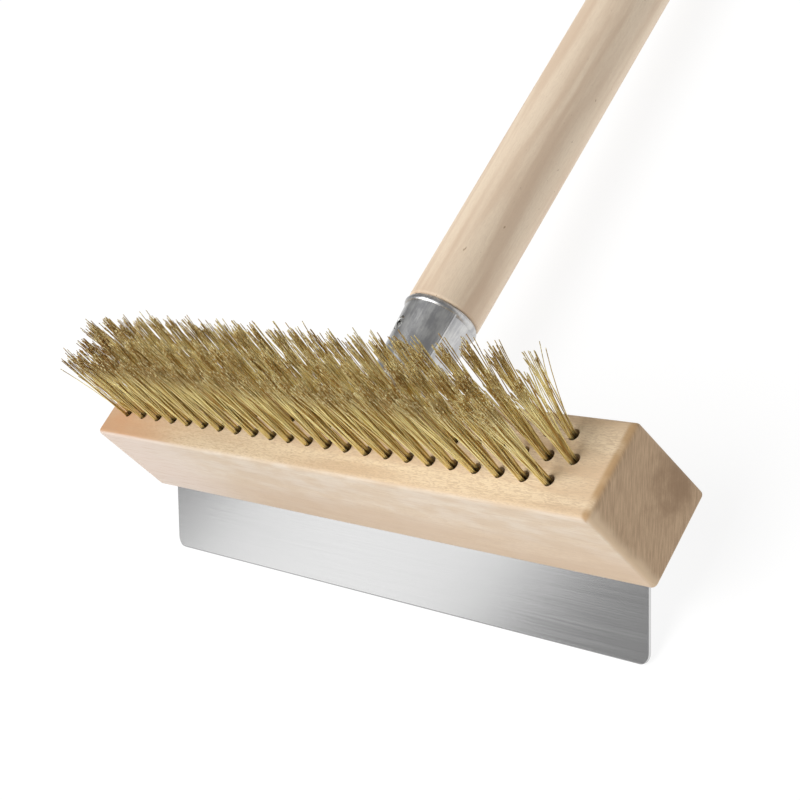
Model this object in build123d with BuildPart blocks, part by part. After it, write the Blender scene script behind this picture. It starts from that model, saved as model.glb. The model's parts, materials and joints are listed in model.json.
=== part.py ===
"""Grill cleaning brush: a beech head with brass wire tufts, a bent steel scraper and a long round handle.

All sizes are millimetres. Row frame: +X runs along the head, +Y towards the handle's end, +Z up, bristles
up. The brush lies as it would on a table, on the scraper's edge and the end of the handle, and the origin is
under the middle of its bounding box.

The head has a frame of its own, `head`: its origin is the middle of the bristle face, with x along the head,
y from the front face to the handle face and z along the bristles.
"""

import os
from math import atan2, cos, degrees, radians, sin, tan

from build123d import *

os.makedirs("parts", exist_ok=True)

# Head block
block_length = 265.0
block_depth = 34.0  # front face to handle face
block_height = 38.0  # bristle face to underside
arris = 1.8  # rounding of the sanded edges
underside_arris = 1.0

# Tufts, set in three staggered rows
tufts_per_row = 23
tuft_pitch = 10.44
row_pitch = 8.1
pattern_x = -1.4  # middle of the drilled pattern, from the middle of the bristle face
pattern_y = 1.6
hole_radius = 2.0
hole_depth = 16.0
bundle_radius = 1.7
fold_rounding = 1.0  # round a bundle's folded end
tip_radius = 4.2  # the wires of a tuft spread towards their tips
bristle_length = 37.0
fold_clearance = 0.3  # between a tuft's fold and the bottom of its hole

# Staple that holds a folded tuft down in its hole and bites into the wood on both sides
anchor_width = 5.0
anchor_thickness = 1.0
anchor_height = 3.0
anchor_depth = 11.5  # bristle face to the staple's top
fit_gap = 0.05  # between a fastener and the wood or wire round it

# Scraper blade: a flange screwed under the block, then a sloping apron in front of it
blade_width = 252.4
blade_thickness = 1.0
blade_slope = 40.2  # degrees that the apron falls below the underside
bend_from_front = 5.9  # bend line, behind the block's front face
bend_radius = 1.5
flange_length = 23.0
apron_length = 29.7
apron_corner = 4.3
apron_bevel = 0.5

# Handle socket: a conical sheet sleeve with a rolled bead at its mouth and a screwed base plate
socket_length = 44.0
sheet = 0.9
sleeve_base_radius = 10.8
sleeve_mouth_radius = 13.7
bead_radius = 1.45
bead_height = 0.75  # how far the bead stands out of the sleeve
seam_angle = 22.0  # round the sleeve, from the head's x towards its z
lap_height = 0.5  # step at the seam, where the sheet overlaps itself
seam_roll = 0.7  # radius of the rolled edge along the seam
plate_length = 64.0
plate_height = 28.0
plate_thickness = 1.5
plate_corner = 12.0
seam_fillet = 1.2

# Handle
handle_radius = 14.0
handle_length = 500.0  # from the head's handle face
tip_start = 4.0  # the tapered tip stands clear of the block by this much
tip_chamfer = 2.0
socket_gap = 0.1
neck_length = 0.4
shoulder_round = 1.2
end_round = 7.0
hanging_hole_radius = 3.5
hanging_hole_from_end = 28.0

# Fasteners: wood screws with a cross recess; shares of the head's radius or height
screw_length = 16.0
recess_width = 0.9
recess_reach = 1.1  # of the head's radius, from end to end
recess_share = 0.6  # of the head's height
pan_height_share = 0.65  # of the head's radius
pan_rounding_share = 0.7  # of the head's height
point_share = 0.8  # of the shank's radius that the point takes off
blade_screw_radius = 1.5
blade_screw_head = 3.4
blade_hole_radius = 1.9
blade_screw_places = [(x, 0.0) for x in (-108.0, -36.0, 36.0, 108.0)]
socket_screw_radius = 1.8
socket_screw_head = 3.8
plate_hole_radius = 2.2
socket_screw_places = [(x, 0.0) for x in (-23.0, 23.0)]  # clear of the tuft holes above them
handle_screw_radius = 1.5
handle_screw_head = 2.7
handle_screw_angle = 106.0  # round the sleeve, like the seam
handle_screw_from_head = 32.0
handle_screw_crown = 0.8  # height of its domed top
handle_screw_cone = 1.9  # depth of its countersunk part
sleeve_hole_radius = 2.9

# Corners of the scraper's section, in the head's y and z
underside = -block_height
bend_y = -block_depth / 2 + bend_from_front
slope = radians(blade_slope)
edge_y = bend_y - apron_length * cos(slope)
edge_z = underside - apron_length * sin(slope)
heel_y = edge_y + blade_thickness * sin(slope)
heel_z = edge_z - blade_thickness * cos(slope)

# The brush rests on the heel of the scraper's edge and on the underside of the handle's end.
handle_end_y = block_depth / 2 + handle_length
handle_axis_z = -block_height / 2
rest_y = handle_end_y - end_round
rest_z = handle_axis_z - handle_radius
tilt = atan2(rest_z - heel_z, rest_y - heel_y)
head_y = -((edge_y + handle_end_y) * cos(tilt) + (edge_z + handle_axis_z) * sin(tilt)) / 2
head_z = heel_y * sin(tilt) - heel_z * cos(tilt)

head = Plane(origin=(0, head_y, head_z), x_dir=(1, 0, 0), z_dir=(0, sin(tilt), cos(tilt)))
side = Plane(origin=head.origin, x_dir=head.y_dir, z_dir=head.x_dir)
socket_seat = head.from_local_coords((0, block_depth / 2, handle_axis_z))
shaft = Plane(origin=socket_seat, x_dir=head.y_dir, z_dir=head.x_dir)
handle_face = Plane(origin=socket_seat, x_dir=head.x_dir, z_dir=head.y_dir)
shaft_axis = Axis(shaft.origin, shaft.x_dir)

# The screws' heads stand on these planes.
flange_middle = bend_y + flange_length / 2 + bend_radius
blade_seat = Plane(
    origin=head.from_local_coords((0, flange_middle, underside - blade_thickness)),
    x_dir=head.x_dir,
    z_dir=-head.z_dir,
)
plate_seat = handle_face.offset(plate_thickness)


def tuft_places(column):
    """The three hole centres of one column, on the head's bristle face."""
    across = (column - (tufts_per_row - 1) / 2) * tuft_pitch
    return [
        (pattern_x + across - tuft_pitch / 4, pattern_y - row_pitch),
        (pattern_x + across + tuft_pitch / 4, pattern_y),
        (pattern_x + across - tuft_pitch / 4, pattern_y + row_pitch),
    ]


def sleeve_radius(along):
    """Outside radius of the socket's sleeve at a distance from the head."""
    return sleeve_base_radius + (sleeve_mouth_radius - sleeve_base_radius) * along / socket_length


def round_the_shaft(angle, along=0.0, out=0.0):
    """A plane whose y points out of the handle's axis at an angle from the head's x, and x along it."""
    outward = head.x_dir * cos(radians(angle)) + head.z_dir * sin(radians(angle))
    return Plane(
        origin=shaft.origin + shaft.x_dir * along + outward * out,
        x_dir=shaft.x_dir,
        z_dir=shaft.x_dir.cross(outward),
    )


all_tuft_places = [place for column in range(tufts_per_row) for place in tuft_places(column)]


def pan_screws(seat, places, head_radius, shank_radius):
    """Pan-head screws with their heads on the seat plane and their shanks going in behind it."""
    inward = Axis(seat.origin, seat.z_dir)
    head_height = pan_height_share * head_radius
    recess_length = recess_reach * head_radius
    with BuildPart() as screws:
        with BuildSketch(seat):
            with Locations(*places):
                Circle(head_radius)
        extrude(amount=head_height)
        fillet(screws.edges().group_by(inward)[-1], radius=pan_rounding_share * head_height)
        with BuildSketch(seat):
            with Locations(*places):
                Circle(shank_radius)
        extrude(amount=-screw_length)
        point = screws.edges().group_by(inward)[0]
        chamfer(point, length=2 * shank_radius, length2=point_share * shank_radius)
        with BuildSketch(seat.offset(head_height)):
            with Locations(*places):
                Rectangle(recess_length, recess_width)
                Rectangle(recess_width, recess_length)
        extrude(amount=-recess_share * head_height, mode=Mode.SUBTRACT)
    return screws


# Head block, drilled for the tufts, their staples and the screws
with BuildPart() as block:
    with BuildSketch(head):
        Rectangle(block_length, block_depth)
    extrude(amount=-block_height)
    upward = Axis(head.origin, head.z_dir)
    fillet(block.edges() - block.edges().group_by(upward)[0], radius=arris)
    fillet(block.faces().sort_by(upward)[0].edges(), radius=underside_arris)
    with BuildSketch(head):
        with Locations(*all_tuft_places):
            Circle(hole_radius)
    extrude(amount=-hole_depth, mode=Mode.SUBTRACT)
    with BuildSketch(head.offset(fit_gap - anchor_depth)):
        with Locations(*all_tuft_places):
            Rectangle(anchor_width + 2 * fit_gap, anchor_thickness + 2 * fit_gap)
    extrude(amount=-anchor_height - 2 * fit_gap, mode=Mode.SUBTRACT)
    with BuildSketch(blade_seat):
        with Locations(*blade_screw_places):
            Circle(blade_screw_radius + fit_gap)
    extrude(amount=-screw_length - fit_gap, mode=Mode.SUBTRACT)
    with BuildSketch(plate_seat):
        with Locations(*socket_screw_places):
            Circle(socket_screw_radius + fit_gap)
    extrude(amount=-screw_length - fit_gap, mode=Mode.SUBTRACT)
block.part.label = "block"
export_step(block.part, "parts/block.step")

# Scraper blade, one bent sheet
inner_bend_y = bend_y + blade_thickness * tan(slope / 2)
with BuildPart() as scraper_blade:
    with BuildSketch(side) as section:
        with BuildLine():
            Polyline(
                (bend_y + flange_length, underside),
                (bend_y, underside),
                (edge_y, edge_z),
                (heel_y, heel_z),
                (inner_bend_y, underside - blade_thickness),
                (bend_y + flange_length, underside - blade_thickness),
                close=True,
            )
        make_face()
        fillet(section.vertices().sort_by_distance((bend_y, underside))[0], bend_radius + blade_thickness)
        fillet(
            section.vertices().sort_by_distance((inner_bend_y, underside - blade_thickness))[0], bend_radius
        )
        chamfer(section.vertices().sort_by_distance((edge_y, edge_z))[0], length=apron_bevel)
    extrude(amount=blade_width / 2, both=True)
    apron_normal = head.from_local_coords((0, -sin(slope), cos(slope))) - head.origin
    fillet(scraper_blade.edges().filter_by(Axis(head.origin, apron_normal)), radius=apron_corner)
    with BuildSketch(blade_seat):
        with Locations(*blade_screw_places):
            Circle(blade_hole_radius)
    extrude(amount=-2 * blade_thickness, mode=Mode.SUBTRACT)
scraper_blade.part.label = "scraper_blade"
export_step(scraper_blade.part, "parts/scraper_blade.step")

blade_screws = pan_screws(blade_seat, blade_screw_places, blade_screw_head, blade_screw_radius)
blade_screws.part.label = "blade_screws"
export_step(blade_screws.part, "parts/blade_screws.step")

# The handle screw's place, as a plane along the handle and as one across the screw
screw_section = round_the_shaft(handle_screw_angle, along=handle_screw_from_head)
screw_line = Plane(origin=screw_section.origin, x_dir=screw_section.x_dir, z_dir=screw_section.y_dir)
screw_axis = Axis(screw_section.origin, screw_section.y_dir)

# Handle socket, one pressed sheet: base plate, sleeve with its lap seam, and rolled bead
bead_middle = socket_length - bead_radius
lap_top = bead_middle - bead_radius / 2
with BuildPart() as handle_socket:
    with BuildSketch(handle_face):
        RectangleRounded(plate_length, plate_height, plate_corner)
    extrude(amount=plate_thickness)
    with BuildSketch(shaft):
        with BuildLine():
            Polyline(
                (0, 0),
                (0, sleeve_radius(0)),
                (socket_length, sleeve_radius(socket_length)),
                (socket_length, 0),
                close=True,
            )
        make_face()
    revolve(axis=shaft_axis)
    fillet(handle_socket.edges().filter_by(GeomType.CIRCLE).sort_by(shaft_axis)[-2], seam_fillet)
    # The sheet's outer end lies on its inner end: proud at the seam, level a quarter turn on.
    seam_plane = round_the_shaft(seam_angle, out=lap_height)
    with BuildSketch(seam_plane):
        with BuildLine():
            Polyline(
                (plate_thickness, 0),
                (plate_thickness, sleeve_radius(plate_thickness)),
                (lap_top, sleeve_radius(lap_top)),
                (lap_top, 0),
                close=True,
            )
        make_face()
    revolve(axis=Axis(seam_plane.origin, -seam_plane.x_dir), revolution_arc=90)
    # A thin roll stiffens that outer end along the seam, half sunk in the sheet.
    roll_start, roll_end = [
        seam_plane.from_local_coords((along, sleeve_radius(along) - seam_roll / 2))
        for along in (plate_thickness, lap_top)
    ]
    with BuildSketch(Plane(origin=roll_start, z_dir=roll_end - roll_start)):
        Circle(seam_roll)
    extrude(amount=(roll_end - roll_start).length)
    with BuildSketch(shaft):
        with Locations((bead_middle, sleeve_radius(bead_middle) + bead_height - bead_radius)):
            Circle(bead_radius)
    revolve(axis=shaft_axis)
    with BuildSketch(shaft):
        with BuildLine():
            Polyline(
                (-sheet, 0),
                (-sheet, sleeve_radius(-sheet) - sheet),
                (socket_length + sheet, sleeve_radius(socket_length + sheet) - sheet),
                (socket_length + sheet, 0),
                close=True,
            )
        make_face()
    revolve(axis=shaft_axis, mode=Mode.SUBTRACT)
    with BuildSketch(plate_seat):
        with Locations(*socket_screw_places):
            Circle(plate_hole_radius)
    extrude(amount=-2 * plate_thickness, mode=Mode.SUBTRACT)
    with BuildSketch(screw_line):
        Circle(sleeve_hole_radius)
    extrude(amount=2 * sleeve_mouth_radius, mode=Mode.SUBTRACT)
handle_socket.part.label = "handle_socket"
export_step(handle_socket.part, "parts/handle_socket.step")

socket_screws = pan_screws(plate_seat, socket_screw_places, socket_screw_head, socket_screw_radius)
socket_screws.part.label = "socket_screws"
export_step(socket_screws.part, "parts/socket_screws.step")

# Handle screw: a raised countersunk head fills the sleeve's hole. Heights are from the handle's axis.
head_rim = sleeve_radius(handle_screw_from_head) - sheet / 2
head_crown = head_rim + handle_screw_crown
head_base = head_rim - handle_screw_cone
screw_tip = head_crown - screw_length


def handle_screw_body(gap):
    """The handle screw without its recess, grown by a gap."""
    rim = handle_screw_head + gap
    with BuildPart() as body:
        with BuildSketch(screw_section):
            with BuildLine():
                Polyline(
                    (rim, head_rim),
                    (handle_screw_radius + gap, head_base),
                    (handle_screw_radius + gap, screw_tip + 2 * handle_screw_radius),
                    (0, screw_tip - gap),
                    (0, head_crown),
                )
                TangentArc((0, head_crown), (rim, head_rim), tangent=(1, 0))
            make_face()
        revolve(axis=screw_axis)
    return body


with BuildPart() as handle_screw:
    add(handle_screw_body(0))
    with BuildSketch(screw_line.offset(head_crown)):
        Rectangle(recess_reach * handle_screw_head, recess_width)
        Rectangle(recess_width, recess_reach * handle_screw_head)
    extrude(amount=-recess_share * (handle_screw_crown + handle_screw_cone), mode=Mode.SUBTRACT)
handle_screw.part.label = "handle_screw"
export_step(handle_screw.part, "parts/handle_screw.step")

# Handle: a tapered tip in the sleeve, a shoulder at its mouth, then the plain round bar with its hanging hole
mouth = socket_length + neck_length
inside = sheet + socket_gap
with BuildPart() as handle:
    with BuildSketch(shaft) as section:
        with BuildLine():
            Polyline(
                (tip_start, 0),
                (tip_start, sleeve_radius(tip_start) - inside - tip_chamfer),
                (tip_start + tip_chamfer, sleeve_radius(tip_start + tip_chamfer) - inside),
                (mouth, sleeve_radius(mouth) - inside),
                (mouth, handle_radius),
                (handle_length, handle_radius),
                (handle_length, 0),
                close=True,
            )
        make_face()
        fillet(section.vertices().sort_by_distance((mouth, handle_radius))[0], shoulder_round)
        fillet(section.vertices().sort_by_distance((handle_length, handle_radius))[0], end_round)
    revolve(axis=shaft_axis)
    add(handle_screw_body(fit_gap), mode=Mode.SUBTRACT)
    hole_middle = shaft.from_local_coords((handle_length - hanging_hole_from_end, 0, 0))
    with BuildSketch(Plane(origin=hole_middle, x_dir=head.x_dir, z_dir=head.z_dir)):
        Circle(hanging_hole_radius)
    extrude(amount=2 * handle_radius, both=True, mode=Mode.SUBTRACT)
handle.part.label = "handle"
export_step(handle.part, "parts/handle.step")

# Staples of the tufts
with BuildPart() as tuft_anchors:
    with BuildSketch(head.offset(-anchor_depth)):
        with Locations(*all_tuft_places):
            Rectangle(anchor_width, anchor_thickness)
    extrude(amount=-anchor_height)
tuft_anchors.part.label = "tuft_anchors"
export_step(tuft_anchors.part, "parts/tuft_anchors.step")

# Tufts, one node for each column of three: each is folded under its staple and spreads above the block
spread = degrees(atan2(tip_radius - bundle_radius, bristle_length))
fold_depth = hole_depth - fold_clearance
for column in range(tufts_per_row):
    with BuildPart() as tuft_column:
        with BuildSketch(head):
            with Locations(*tuft_places(column)):
                Circle(bundle_radius)
        extrude(amount=-fold_depth)
        fillet(tuft_column.edges().group_by(Axis(head.origin, head.z_dir))[0], radius=fold_rounding)
        with BuildSketch(head):
            with Locations(*tuft_places(column)):
                Circle(bundle_radius)
        extrude(amount=bristle_length, taper=-spread)
        with BuildSketch(head.offset(fit_gap - anchor_depth)):
            with Locations(*tuft_places(column)):
                Rectangle(2 * hole_radius, anchor_thickness + 2 * fit_gap)
        extrude(amount=-anchor_height - 2 * fit_gap, mode=Mode.SUBTRACT)
    tuft_column.part.label = f"tuft_column_{column + 1:02d}"
    export_step(tuft_column.part, f"parts/{tuft_column.part.label}.step")
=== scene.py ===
"""Looks of the grill cleaning brush: wood, zinc and steel on the CAD nodes, and brass wires for its tufts.

Lengths are in metres in the row frame, and in millimetres in the head's own frame: x along the head, y from
the front face to the handle, z along the bristles, from the middle of the bristle face.
"""

import json
import math
import random

import bpy
from mathutils import Matrix, Vector


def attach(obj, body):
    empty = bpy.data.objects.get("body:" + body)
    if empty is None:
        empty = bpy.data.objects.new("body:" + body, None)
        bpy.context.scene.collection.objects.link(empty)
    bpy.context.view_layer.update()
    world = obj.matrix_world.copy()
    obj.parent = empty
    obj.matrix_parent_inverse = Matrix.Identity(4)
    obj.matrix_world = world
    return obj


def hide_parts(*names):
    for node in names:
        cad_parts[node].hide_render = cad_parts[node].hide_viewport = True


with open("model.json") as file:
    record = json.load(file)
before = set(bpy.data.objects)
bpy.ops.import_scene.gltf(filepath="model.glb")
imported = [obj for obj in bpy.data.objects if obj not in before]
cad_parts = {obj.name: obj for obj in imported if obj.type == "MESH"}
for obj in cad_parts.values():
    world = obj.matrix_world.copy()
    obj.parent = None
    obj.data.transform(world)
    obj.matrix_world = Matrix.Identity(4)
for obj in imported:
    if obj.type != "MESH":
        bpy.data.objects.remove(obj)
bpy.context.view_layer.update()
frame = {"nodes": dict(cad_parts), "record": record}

nodes = frame["nodes"]
mounts = {mount["name"]: mount for mount in frame["record"]["mounts"]}
MM = 0.001

# The head's frame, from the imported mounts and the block's size
BLOCK_LENGTH, BLOCK_DEPTH, BLOCK_HEIGHT = 265.0, 34.0, 38.0
END_FACE, FRONT_FACE, UNDERSIDE = BLOCK_LENGTH / 2, -BLOCK_DEPTH / 2, -BLOCK_HEIGHT
head_x = Vector((1, 0, 0))
head_y = -Vector(mounts["head_front"]["axis"]).normalized()
head_z = Vector(mounts["hanging_hole"]["axis"]).normalized()
block_middle = Vector(mounts["head_front"]["pos_m"]) + head_y * BLOCK_DEPTH / 2 * MM
head_origin = block_middle + head_z * BLOCK_HEIGHT / 2 * MM
head_to_row = Matrix((head_x, head_y, head_z)).transposed()
row_to_head = head_to_row.inverted()


def in_row(x, y, z):
    """A point given in millimetres in the head's frame, in metres in the row frame."""
    return head_origin + head_to_row @ Vector((x, y, z)) * MM


def in_head(point):
    """A point of the row frame, in millimetres in the head's frame."""
    return row_to_head @ (Vector(point) - head_origin) / MM


# ---------------------------------------------------------------- camera

CAMERA_AIM = in_row(0, 26.3, -21.6)
CAMERA_AZIMUTH, CAMERA_ELEVATION = math.radians(68.64), math.radians(35.65)
CAMERA_ROLL = math.radians(-49.0)
CAMERA_DISTANCE, CAMERA_CLIP = 0.62, 0.01  # metres
CAMERA_LENS = 79.3  # millimetres


def make_camera():
    """The camera looks down along the head from its right end, rolled to its left."""
    back = Vector((
        math.sin(CAMERA_AZIMUTH) * math.cos(CAMERA_ELEVATION),
        -math.cos(CAMERA_AZIMUTH) * math.cos(CAMERA_ELEVATION),
        math.sin(CAMERA_ELEVATION),
    ))
    level = Vector((0, 0, 1)).cross(back).normalized()
    above = back.cross(level)
    right = level * math.cos(CAMERA_ROLL) + above * math.sin(CAMERA_ROLL)
    turn = Matrix((right, back.cross(right), back)).transposed().to_4x4()
    data = bpy.data.cameras.new("camera")
    data.lens = CAMERA_LENS
    data.clip_start = CAMERA_CLIP
    camera = bpy.data.objects.new("camera", data)
    camera.matrix_world = Matrix.Translation(CAMERA_AIM + back * CAMERA_DISTANCE) @ turn
    bpy.context.scene.collection.objects.link(camera)
    bpy.context.scene.camera = camera


# ---------------------------------------------------------------- node helpers


class Nodes:
    """A material's node tree, with short calls for the nodes that the materials below share."""

    def __init__(self, name):
        self.material = bpy.data.materials.new(name)
        self.material.use_nodes = True
        self.tree = self.material.node_tree
        self.shader = self.tree.nodes["Principled BSDF"]
        self.place = self.tree.nodes.new("ShaderNodeTexCoord").outputs["Object"]

    def link(self, value, socket):
        """Links an output to a socket, or sets the socket to a plain value."""
        if isinstance(value, bpy.types.NodeSocket):
            self.tree.links.new(value, socket)
        else:
            socket.default_value = value

    def set(self, **values):
        """Sets the shader's own sockets, named with underscores for spaces."""
        for name, value in values.items():
            self.link(value, self.shader.inputs[name.replace("_", " ")])

    def math(self, kind, a, b=0.0):
        node = self.tree.nodes.new("ShaderNodeMath")
        node.operation = kind
        self.link(a, node.inputs[0])
        self.link(b, node.inputs[1])
        return node.outputs[0]

    def distance(self, a, b, middle):
        """How far the point (a, b) is from a middle."""
        off_a, off_b = self.math("SUBTRACT", a, middle[0]), self.math("SUBTRACT", b, middle[1])
        squares = self.math("ADD", self.math("POWER", off_a, 2.0), self.math("POWER", off_b, 2.0))
        return self.math("POWER", squares, 0.5)

    def head_place(self, scale=(1, 1, 1), offset=(0, 0, 0)):
        """The head frame's coordinates in millimetres, then scaled and shifted."""
        tilt = math.atan2(head_z.y, head_z.z)
        turn = self.tree.nodes.new("ShaderNodeMapping")
        turn.vector_type = "TEXTURE"
        turn.inputs["Location"].default_value = head_origin
        turn.inputs["Rotation"].default_value = (-tilt, 0, 0)
        turn.inputs["Scale"].default_value = (MM, MM, MM)
        self.link(self.place, turn.inputs["Vector"])
        fit = self.tree.nodes.new("ShaderNodeMapping")
        fit.inputs["Location"].default_value = offset
        fit.inputs["Scale"].default_value = scale
        self.link(turn.outputs[0], fit.inputs["Vector"])
        return fit.outputs[0]

    def slanted_place(self, degrees, along, across):
        """Coordinates for streaks on the end grain, along a line that many degrees from y up to z."""
        turn = self.tree.nodes.new("ShaderNodeMapping")
        turn.vector_type = "TEXTURE"
        turn.inputs["Rotation"].default_value = (math.radians(degrees), 0, 0)
        turn.inputs["Scale"].default_value = (along, along, across)
        self.link(self.head_place(), turn.inputs["Vector"])
        return turn.outputs[0]

    def split(self, vector):
        node = self.tree.nodes.new("ShaderNodeSeparateXYZ")
        self.link(vector, node.inputs[0])
        return node.outputs

    def noise(self, vector, detail=2.0, roughness=0.5, distortion=0.0):
        """Noise whose features are about one unit of the coordinates across."""
        node = self.tree.nodes.new("ShaderNodeTexNoise")
        node.inputs["Scale"].default_value = 1.0
        node.inputs["Detail"].default_value = detail
        node.inputs["Roughness"].default_value = roughness
        node.inputs["Distortion"].default_value = distortion
        self.link(vector, node.inputs["Vector"])
        return node.outputs["Fac"]

    def ramp(self, value, low, high, to_low=0.0, to_high=1.0):
        """A smooth step, from to_low where the value is low to to_high where it is high."""
        node = self.tree.nodes.new("ShaderNodeMapRange")
        node.interpolation_type = "SMOOTHSTEP"
        self.link(value, node.inputs["Value"])
        node.inputs["From Min"].default_value = low
        node.inputs["From Max"].default_value = high
        node.inputs["To Min"].default_value = to_low
        node.inputs["To Max"].default_value = to_high
        return node.outputs[0]

    def mix(self, factor, a, b, kind="MIX"):
        """Two colours mixed, each an output or plain red, green and blue."""
        node = self.tree.nodes.new("ShaderNodeMix")
        node.data_type = "RGBA"
        node.blend_type = kind
        self.link(factor, node.inputs["Factor"])
        for value, name in ((a, "A"), (b, "B")):
            socket = next(s for s in node.inputs if s.name == name and s.type == "RGBA")
            self.link(value if isinstance(value, bpy.types.NodeSocket) else (*value, 1.0), socket)
        return next(s for s in node.outputs if s.type == "RGBA")

    def bump(self, height, distance, strength):
        """A bump whose height is as many metres deep as the distance."""
        node = self.tree.nodes.new("ShaderNodeBump")
        node.inputs["Distance"].default_value = distance
        node.inputs["Strength"].default_value = strength
        self.link(height, node.inputs["Height"])
        self.link(node.outputs[0], self.shader.inputs["Normal"])

    def streaks(self, along, across, grain, detail=3, distortion=0.0, shift=0.0):
        """Noise drawn out along the grain, the head's x or y axis. Both lengths are in millimetres."""
        scale = [1 / across] * 3
        scale["xyz".index(grain)] = 1 / along
        return self.noise(self.head_place(scale, (shift, shift, shift)), detail, distortion=distortion)


# ---------------------------------------------------------------- colours, linear red, green and blue

BLOCK_LIGHT, BLOCK_DARK = (0.89, 0.725, 0.51), (0.72, 0.53, 0.345)
# painted shade: a grey that darkens the block towards its left end
LEFT_SHADE = (0.78, 0.77, 0.76)
RUDDY = (0.58, 0.33, 0.18)
BLEACHED_LIGHT, BLEACHED_DARK = (0.80, 0.70, 0.59), (0.73, 0.59, 0.45)
BLEACHED_LOW, BLEACHED_LEFT = (0.69, 0.52, 0.38), (0.84, 0.76, 0.70)
FRONT_FIBRE = (0.60, 0.44, 0.31)
# painted shadow along the block's lower arris, above the blade
LOWER_ARRIS_SHADOW = (0.26, 0.18, 0.12)
END_LIGHT, END_DARK = (0.63, 0.445, 0.28), (0.46, 0.31, 0.19)
END_WORN, END_KNOT = (0.76, 0.57, 0.38), (0.33, 0.205, 0.115)
SCORCH = (0.46, 0.28, 0.13)
HANDLE_LIGHT, HANDLE_DARK = (0.87, 0.72, 0.55), (0.73, 0.56, 0.41)
HANDLE_SPOT = (0.36, 0.22, 0.12)
# the steel's edge colour is painted shade along the blade's scraping edge
STEEL_LIGHT, STEEL_DARK, STEEL_EDGE_SHADE = (0.65, 0.65, 0.65), (0.60, 0.60, 0.60), (0.14, 0.14, 0.14)
ZINC_LIGHT, ZINC_DARK = (0.68, 0.68, 0.67), (0.48, 0.48, 0.49)
SCREW_LIGHT, SCREW_DARK = (0.74, 0.74, 0.72), (0.56, 0.56, 0.54)
BRASS_LIGHT, BRASS_DARK = (1.0, 0.88, 0.43), (0.44, 0.26, 0.065)
BRASS_STAIN, BRASS_TARNISH = (0.44, 0.30, 0.11), (0.31, 0.17, 0.045)
# painted light on the wires' lower part, and painted shade where they go into their holes
BRASS_FOOT_LIGHT, BRASS_ROOT_SHADE = (1.0, 0.82, 0.40), (0.20, 0.11, 0.04)
# painted glints on the wires' tips
BRASS_GLINT = (1.0, 0.90, 0.52)

# ---------------------------------------------------------------- materials

RAY_ANGLE = 37.0  # degrees of the end grain's rays
KNOT_MIDDLE = (9.5, -23.0)  # in y and z, on the end faces
KNOT_REACH, KNOT_CORE = 18.0, 3.0
WIRE_LIT_FOOT = 9.0  # painted light brightens the wires below this height
TARNISH_START, TARNISH_FULL = 22.0, 33.0


def beech(n, grain, light, dark, fleck_strength):
    """Sanded bare beech: long soft bands, fine fibres and the short wavy flecks of its rays."""
    bands = n.streaks(90.0, 7.0, grain, distortion=0.5)
    fibres = n.streaks(22.0, 0.5, grain)
    flecks = n.streaks(2.4, 0.36, grain, distortion=1.2, shift=5.0)
    colour = n.mix(n.ramp(bands, 0.35, 0.65), light, dark)
    colour = n.mix(n.ramp(fibres, 0.40, 0.75, 0.0, 0.25), colour, dark)
    fleck_colour = [0.88 * part for part in dark]
    colour = n.mix(n.ramp(flecks, 0.44, 0.62, 0.0, fleck_strength), colour, fleck_colour)
    return colour, n.math("SUBTRACT", fibres, n.math("MULTIPLY", flecks, 0.6))


def front_colour(n, x, z):
    """The bleached front face: paler at its left end, warmer low down, with fine fibres."""
    cloud = n.streaks(14.0, 5.0, "x", shift=8.0)
    fibres = n.streaks(16.0, 0.55, "x", detail=4, shift=12.0)
    colour = n.mix(n.ramp(cloud, 0.35, 0.65), BLEACHED_LIGHT, BLEACHED_DARK)
    colour = n.mix(n.ramp(z, -12.0, -30.0, 0.0, 0.8), colour, BLEACHED_LOW)
    colour = n.mix(n.ramp(x, -50.0, -110.0, 0.0, 0.9), colour, BLEACHED_LEFT)
    return n.mix(n.ramp(fibres, 0.45, 0.75, 0.0, 0.5), colour, FRONT_FIBRE)


def end_colour(n, y, z, patch):
    """The dull end grain: slanted rays, a blotchy knot and a paler worn strip along the front arris."""
    rays = n.noise(n.slanted_place(RAY_ANGLE, along=7.0, across=0.45), detail=4, roughness=0.65)
    blotch = n.noise(n.head_place(scale=(0.05, 0.10, 0.10), offset=(4.0, 4.0, 4.0)), detail=4, roughness=0.6)
    off_knot = n.distance(y, z, KNOT_MIDDLE)
    ragged = n.math("MULTIPLY", n.math("SUBTRACT", blotch, 0.5), 2.0)
    knot = n.math("ADD", n.ramp(off_knot, KNOT_REACH, KNOT_CORE), ragged)
    worn = n.math("SUBTRACT", y, n.math("MULTIPLY", n.math("SUBTRACT", patch, 0.5), 9.0))
    colour = n.mix(n.ramp(rays, 0.32, 0.68), END_LIGHT, END_DARK)
    colour = n.mix(n.ramp(knot, 0.2, 1.1, 0.0, 0.8), colour, END_KNOT)
    return n.mix(n.ramp(worn, FRONT_FACE + 5.5, FRONT_FACE + 1.5), colour, END_WORN)


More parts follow.
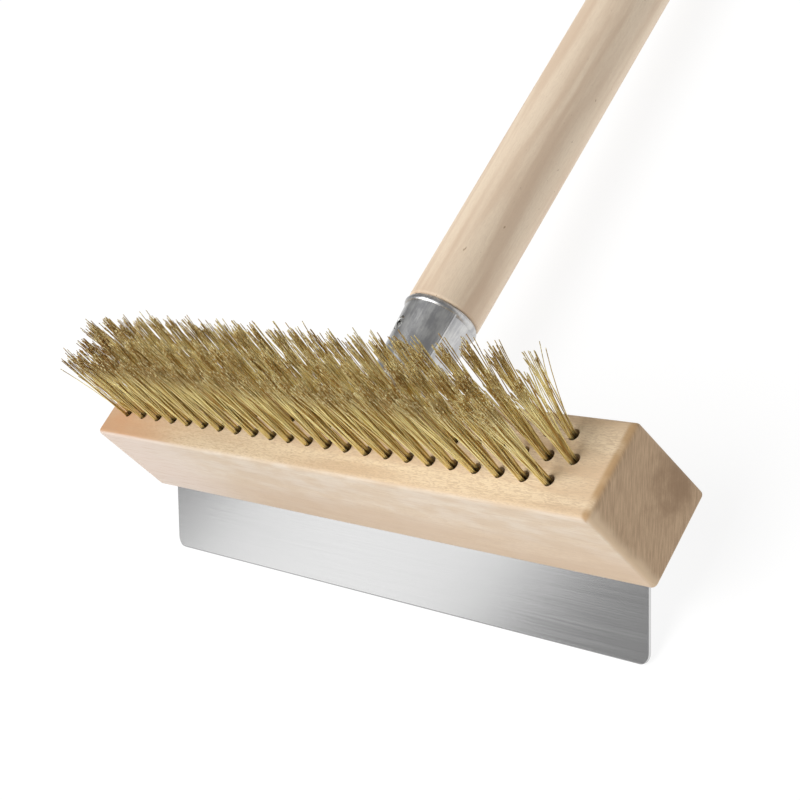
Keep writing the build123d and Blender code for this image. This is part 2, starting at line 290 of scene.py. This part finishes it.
def block_wood():
    """The head's beech: ruddy left end, bleached front face, dull end grain and a scorched right arris."""
    n = Nodes("block_wood")
    x, y, z = n.split(n.head_place())
    patch = n.streaks(30.0, 12.0, "x", shift=3.0)
    colour, relief = beech(n, "x", BLOCK_LIGHT, BLOCK_DARK, fleck_strength=0.72)
    # painted shade: the block's colour is darkened towards its left end
    colour = n.mix(n.ramp(x, 60.0, -60.0), colour, LEFT_SHADE, kind="MULTIPLY")
    ruddy = n.math("MULTIPLY", n.ramp(x, -62.0, -128.0), n.ramp(patch, 0.25, 0.60, 0.5, 1.0))
    colour = n.mix(ruddy, colour, RUDDY)

    on_front = n.ramp(y, FRONT_FACE + 1.1, FRONT_FACE + 0.2)
    colour = n.mix(n.math("MULTIPLY", on_front, 0.72), colour, front_colour(n, x, z))
    # painted shadow: the lower arris is darkened all round
    colour = n.mix(n.ramp(z, UNDERSIDE + 0.9, UNDERSIDE + 0.3, 0.0, 0.75), colour, LOWER_ARRIS_SHADOW)
    on_end = n.ramp(n.math("ABSOLUTE", x), END_FACE - 1.3, END_FACE - 0.4)
    colour = n.mix(on_end, colour, end_colour(n, y, z, patch))

    off_end_arris = n.math("ABSOLUTE", n.math("SUBTRACT", x, END_FACE - 1.5))
    off_arris = n.math("ADD", off_end_arris, n.math("ABSOLUTE", z))
    uneven = n.noise(n.head_place(scale=(0.05, 0.11, 0.05), offset=(2.0, 2.0, 2.0)), detail=1)
    burnt = n.math("MULTIPLY", n.ramp(off_arris, 2.6, 0.5), n.ramp(uneven, 0.36, 0.60, 0.2, 0.85))
    n.set(Base_Color=n.mix(burnt, colour, SCORCH), Roughness=0.62, Specular_IOR_Level=0.3)
    n.bump(relief, distance=0.0001, strength=0.5)
    return n.material


def handle_wood():
    """The handle's paler beech, its grain along the handle, with a few small dark flecks."""
    n = Nodes("handle_wood")
    colour, relief = beech(n, "y", HANDLE_LIGHT, HANDLE_DARK, fleck_strength=0.22)
    spots = n.streaks(2.6, 1.1, "y", detail=1, shift=9.0)
    colour = n.mix(n.ramp(spots, 0.76, 0.82, 0.0, 0.7), colour, HANDLE_SPOT)
    n.set(Base_Color=colour, Roughness=0.55, Specular_IOR_Level=0.35)
    n.bump(relief, distance=0.00008, strength=0.4)
    return n.material


def brushed_steel():
    """Stainless sheet, brushed along the head, with painted shade along its scraping edge."""
    n = Nodes("brushed_steel")
    strokes = n.streaks(60.0, 0.25, "x")
    cloud = n.streaks(60.0, 22.0, "x", detail=2)
    lowest = min(in_head(v.co).z for v in nodes["scraper_blade"].data.vertices)
    height = n.split(n.head_place())["Z"]
    # painted shade along the scraping edge
    edge = n.ramp(height, lowest + 1.2, lowest + 0.95, 0.0, 0.9)
    colour = n.mix(n.ramp(strokes, 0.3, 0.7), STEEL_DARK, STEEL_LIGHT)
    n.set(
        Base_Color=n.mix(edge, colour, STEEL_EDGE_SHADE),
        Metallic=1.0,
        Roughness=n.math("ADD", n.ramp(strokes, 0.2, 0.8, 0.13, 0.18), n.math("MULTIPLY", cloud, 0.04)),
    )
    n.bump(strokes, distance=0.00002, strength=0.3)
    return n.material


def zinc_sheet():
    """Dull zinc plating: soft mottles, drawn out a little along the handle."""
    n = Nodes("zinc_sheet")
    mottle = n.noise(n.head_place(scale=(0.30, 0.13, 0.30)), detail=6, roughness=0.65)
    drawn = n.streaks(14.0, 0.7, "y", detail=4, shift=6.0)
    fine = n.noise(n.head_place(scale=(1.8, 1.8, 1.8)), detail=3)
    tone = n.math("ADD", n.math("MULTIPLY", mottle, 0.75), n.math("MULTIPLY", drawn, 0.25))
    n.set(
        Base_Color=n.mix(n.ramp(tone, 0.38, 0.62), ZINC_DARK, ZINC_LIGHT),
        Metallic=1.0,
        Roughness=n.math("ADD", n.ramp(tone, 0.3, 0.7, 0.28, 0.38), n.math("MULTIPLY", fine, 0.08)),
    )
    n.bump(n.math("ADD", fine, drawn), distance=0.00005, strength=0.5)
    return n.material


def screw_steel():
    """Bright zinc-plated screws and staples."""
    n = Nodes("screw_steel")
    fine = n.noise(n.head_place(scale=(2.0, 2.0, 2.0)), detail=3)
    n.set(
        Base_Color=n.mix(fine, SCREW_DARK, SCREW_LIGHT),
        Metallic=1.0,
        Roughness=n.ramp(fine, 0.3, 0.7, 0.18, 0.32),
    )
    return n.material


def brass_wire():
    """Drawn brass wire: each wire has its own tone, browner towards its tip, with painted glints there."""
    n = Nodes("brass_wire")
    tone = n.tree.nodes.new("ShaderNodeNewGeometry").outputs["Random Per Island"]
    place = n.split(n.head_place())
    height = place["Z"]
    patch = n.noise(n.head_place(scale=(0.05, 0.08, 0.05)))
    stain = n.noise(n.head_place(scale=(0.9, 0.9, 0.16)))
    speckle = n.noise(n.head_place(scale=(1.6, 1.6, 1.1), offset=(7.0, 7.0, 7.0)), detail=1)
    colour = n.mix(n.ramp(tone, 0.2, 0.4), BRASS_DARK, BRASS_LIGHT)
    colour = n.mix(n.ramp(stain, 0.5, 0.75, 0.0, 0.35), colour, BRASS_STAIN)
    browner_left = n.ramp(place["X"], -30.0, -110.0, 0.0, 0.2)
    browned = n.math("ADD", n.ramp(patch, 0.35, 0.65, 0.45, 0.8), browner_left)
    tarnish = n.math("MULTIPLY", n.ramp(height, TARNISH_START, TARNISH_FULL), browned)
    colour = n.mix(tarnish, colour, BRASS_TARNISH)
    # painted light: the wires are brightened towards their foot
    colour = n.mix(n.ramp(height, WIRE_LIT_FOOT, 0.0, 0.0, 0.3), colour, BRASS_FOOT_LIGHT)
    # painted shade: the wires are darkened where they go into their holes
    colour = n.mix(n.ramp(height, 0.8, -0.8, 0.0, 0.6), colour, BRASS_ROOT_SHADE)
    # painted glints near the tips
    specks = n.ramp(speckle, 0.55, 0.63, 0.0, 0.9)
    glint = n.math("MULTIPLY", n.ramp(height, TARNISH_START + 1, TARNISH_FULL), specks)
    n.set(
        Base_Color=n.mix(glint, colour, BRASS_GLINT),
        Metallic=0.45,
        Roughness=n.ramp(tone, 0.0, 1.0, 0.36, 0.22),
        Specular_IOR_Level=0.15,
    )
    return n.material


def dress(node, material):
    """Gives every material slot of a CAD node the same material."""
    for slot in nodes[node].material_slots:
        slot.material = material


# ---------------------------------------------------------------- tufts

random.seed(23)
WIRE_RADIUS = 0.145
WIRE_SIDES = 6
WIRE_STEPS = 6
WIRE_LENGTH = 37.0
WIRE_START = -7.0  # the wires are drawn from this deep in their hole
WIRES_PER_HALF, FEWER_PER_ROW = 23, 2  # in the front row, and how many fewer in each row behind it
HALF_WIDTH, HALF_THICKNESS = 1.0, 0.60  # half extents along x and y of each half of a folded tuft
HALF_OFFSET = 0.82  # from the staple to the middle of each half
ROOT_SHIFT_X, ROOT_SHIFT_Y = -0.6, -0.3  # the bundles lie to the left and front in their holes
GOLDEN = math.pi * (3 - math.sqrt(5))
BURIED = -1.0  # a tuft's solid is surely inside its hole below this height
ROW_GAP = 2.0  # more than any gap in y within one tuft's solid

# Where the head's ends begin in x, and how far on they are fully worn
RIGHT_START, RIGHT_REACH = 80.0, 35.0
LEFT_START, LEFT_REACH = -70.0, 50.0
BACK_ROW = 2
THIN_RIGHT, THIN_LEFT = 0.7, 0.9  # wear beyond which a tuft has lost half its wires

# Slopes are millimetres sideways for each millimetre up, bends are millimetres at the tip. A name alone is
# the front row's value, ROW_ is what each row behind it adds, and RIGHT_ what the worn right end adds.
LEAN_BACK, ROW_LEAN_BACK, RIGHT_LEAN_BACK = 0.035, 0.038, 0.05
RIGHT_LEAN_OUT = 0.30
LEAN_SCATTER = 0.012
HALF_SCATTER_X, HALF_SCATTER_Y = 0.012, 0.010
HALF_PARTING = 0.006
FAN, ROW_FAN = 0.020, -0.005  # for each millimetre off the middle of a half
SPLAY, ROW_SPLAY, RIGHT_SPLAY = 0.020, -0.002, 0.030  # scatter of the slopes
FRAY, ROW_FRAY, RIGHT_FRAY = 1.0, -0.15, 1.6  # scatter of the bends
RIGHT_BEND_OUT = 0.8
STRAY_SHARE, STRAY_FACTOR = 0.06, 2.3
ROW_SHORTNESS, LEFT_SHORTNESS, RIGHT_SHORTNESS = 0.3, 1.3, 2.2
LENGTH_OFFSET, LENGTH_SCATTER = -1.2, 1.7
LENGTH_OVER = 1.4  # the most that a wire is longer than WIRE_LENGTH


def tuft_roots(node):
    """The hole centres of a column's three tufts, from the part of its solids below the bristle face."""
    points = [in_head(v.co) for v in nodes[node].data.vertices]
    buried = sorted((p for p in points if p.z < BURIED), key=lambda p: p.y)
    groups = [[buried[0]]]
    for p in buried[1:]:
        if p.y - groups[-1][-1].y > ROW_GAP:
            groups.append([])
        groups[-1].append(p)
    return [
        ((min(p.x for p in g) + max(p.x for p in g)) / 2, (min(p.y for p in g) + max(p.y for p in g)) / 2)
        for g in groups
    ]


def wire_line(root, slope, bend, tip):
    """Points along a wire that starts upright in its hole, then leans and bends up to the tip's height."""
    line = []
    for step in range(WIRE_STEPS):
        z = WIRE_START + (tip - WIRE_START) * step / (WIRE_STEPS - 1)
        up = max(0.0, z)
        curve = (up / WIRE_LENGTH) ** 2
        x, y = (start + lean * up + tip_bend * curve for start, lean, tip_bend in zip(root, slope, bend))
        line.append((x, y, z))
    return line


def tuft_wires(x, y, row):
    """Centre lines of one tuft's wires: two halves of a bundle folded under its staple, frayed at the tips.

    Row 0 is the front one. The back rows lean further back. Towards the head's right end they are splayed
    and worn short, and towards its left end they are short and stand straighter.
    """
    right_end = max(0.0, (x - RIGHT_START) / RIGHT_REACH) ** 2 * row / BACK_ROW
    left_end = max(0.0, (LEFT_START - x) / LEFT_REACH)
    lean_back = LEAN_BACK + ROW_LEAN_BACK * row * (1 - left_end) + RIGHT_LEAN_BACK * right_end
    lean_x = RIGHT_LEAN_OUT * right_end**2 + random.gauss(0, LEAN_SCATTER)
    lean_y = lean_back + random.gauss(0, LEAN_SCATTER)
    fan = FAN + ROW_FAN * row
    splay = SPLAY + ROW_SPLAY * row + RIGHT_SPLAY * right_end
    fray = FRAY + ROW_FRAY * row + RIGHT_FRAY * right_end
    left_shortness = LEFT_SHORTNESS * left_end * row / BACK_ROW
    shortness = ROW_SHORTNESS * row + left_shortness + RIGHT_SHORTNESS * right_end
    thin = (row == 0 and left_end > THIN_LEFT) or right_end > THIN_RIGHT
    wires = WIRES_PER_HALF // 2 if thin else WIRES_PER_HALF - FEWER_PER_ROW * row
    lines = []
    for half in (-1, 1):
        half_x, half_y = random.gauss(0, HALF_SCATTER_X), random.gauss(0, HALF_SCATTER_Y)
        for k in range(wires):
            out = math.sqrt((k + 0.5) / wires)
            dx = HALF_WIDTH * out * math.cos(k * GOLDEN)
            dy = HALF_THICKNESS * out * math.sin(k * GOLDEN)
            stray = STRAY_FACTOR if random.random() < STRAY_SHARE else 1.0
            slope_x = lean_x + half_x + fan * dx + random.gauss(0, splay) * stray
            slope_y = lean_y + half_y + fan * dy + HALF_PARTING * half + random.gauss(0, splay) * stray
            bend_x = random.gauss(RIGHT_BEND_OUT * right_end, fray) * stray
            bend_y = random.gauss(0, fray) * stray
            uneven = min(LENGTH_OVER, random.gauss(LENGTH_OFFSET, LENGTH_SCATTER))
            root = (x + ROOT_SHIFT_X + dx, y + ROOT_SHIFT_Y + HALF_OFFSET * half + dy)
            tip = WIRE_LENGTH - shortness + uneven
            lines.append(wire_line(root, (slope_x, slope_y), (bend_x, bend_y), tip))
    return lines


def add_wire(line, vertices, faces):
    """A thin round tube along a nearly upright line, closed at both ends."""
    first = len(vertices)
    corners = [2 * math.pi * side / WIRE_SIDES for side in range(WIRE_SIDES)]
    for x, y, z in line:
        for turn in corners:
            vertices.append(in_row(x + WIRE_RADIUS * math.cos(turn), y + WIRE_RADIUS * math.sin(turn), z))
    for ring in range(len(line) - 1):
        for side in range(WIRE_SIDES):
            a = first + ring * WIRE_SIDES + side
            b = first + ring * WIRE_SIDES + (side + 1) % WIRE_SIDES
            faces.append((a, b, b + WIRE_SIDES, a + WIRE_SIDES))
    last = first + (len(line) - 1) * WIRE_SIDES
    faces.append(tuple(last + side for side in range(WIRE_SIDES)))
    faces.append(tuple(first + side for side in reversed(range(WIRE_SIDES))))


def make_wires(node, material):
    """The wires of a column of three tufts, in place of its CAD solids."""
    vertices, faces = [], []
    for row, (x, y) in enumerate(tuft_roots(node)):
        for line in tuft_wires(x, y, row):
            add_wire(line, vertices, faces)
    mesh = bpy.data.meshes.new(node + "_wires")
    mesh.from_pydata(vertices, [], faces)
    mesh.shade_smooth()
    for polygon in mesh.polygons:
        if len(polygon.vertices) > 4:  # the wires' ends are flat
            polygon.use_smooth = False
    mesh.materials.append(material)
    wires = bpy.data.objects.new(node + "_wires", mesh)
    bpy.context.scene.collection.objects.link(wires)
    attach(wires, "root")
    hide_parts(node)


# ---------------------------------------------------------------- stage

FLOOR_REACH = 12.0  # metres
FLOOR_WHITE = 0.14
FLOOR_GLOW = 0.88
SURROUND_GLOW = 0.28


def make_floor():
    """A wide pale floor that glows like a light table, so that shadows on it stay faint."""
    mesh = bpy.data.meshes.new("floor")
    corners = [(x, y, 0) for x, y in ((-1, -1), (1, -1), (1, 1), (-1, 1))]
    mesh.from_pydata([Vector(corner) * FLOOR_REACH for corner in corners], [], [(0, 1, 2, 3)])
    n = Nodes("floor")
    n.set(
        Base_Color=(FLOOR_WHITE, FLOOR_WHITE, FLOOR_WHITE, 1.0),
        Roughness=0.9,
        Specular_IOR_Level=0.0,
        Emission_Color=(1.0, 1.0, 1.0, 1.0),
        Emission_Strength=FLOOR_GLOW,
    )
    mesh.materials.append(n.material)
    floor = bpy.data.objects.new("floor", mesh)
    bpy.context.scene.collection.objects.link(floor)


def soft_box(name, direction, distance, size, radiance):
    """A rectangular studio light of an even radiance that faces the head from a direction."""
    data = bpy.data.lights.new(name, "AREA")
    data.shape = "RECTANGLE"
    data.size, data.size_y = size
    data.energy = radiance * math.pi * size[0] * size[1]
    light = bpy.data.objects.new(name, data)
    way = Vector(direction).normalized()
    light.location = block_middle + way * distance
    light.rotation_euler = way.to_track_quat("Z", "Y").to_euler()
    bpy.context.scene.collection.objects.link(light)


def make_light():
    """A wide soft box overhead, a dim one that the blade mirrors, and a grey surround."""
    soft_box("overhead", (-0.22, -0.38, 0.90), distance=2.2, size=(1.8, 1.8), radiance=5.0)
    soft_box("blade_mirror", (-0.757, -0.543, 0.363), distance=2.5, size=(0.52, 0.95), radiance=1.04)
    world = bpy.data.worlds.new("surround")
    world.use_nodes = True
    background = world.node_tree.nodes["Background"]
    background.inputs["Color"].default_value = (1, 1, 1, 1)
    background.inputs["Strength"].default_value = SURROUND_GLOW
    bpy.context.scene.world = world
    bpy.context.scene.view_settings.view_transform = "Standard"


# ---------------------------------------------------------------- the brush

make_camera()
make_light()
make_floor()
dress("block", block_wood())
dress("handle", handle_wood())
dress("scraper_blade", brushed_steel())
dress("handle_socket", zinc_sheet())
screws = screw_steel()
for screw_node in ("blade_screws", "socket_screws", "handle_screw", "tuft_anchors"):
    dress(screw_node, screws)
brass = brass_wire()
for tuft_node in sorted(name for name in nodes if name.startswith("tuft_column")):
    make_wires(tuft_node, brass)
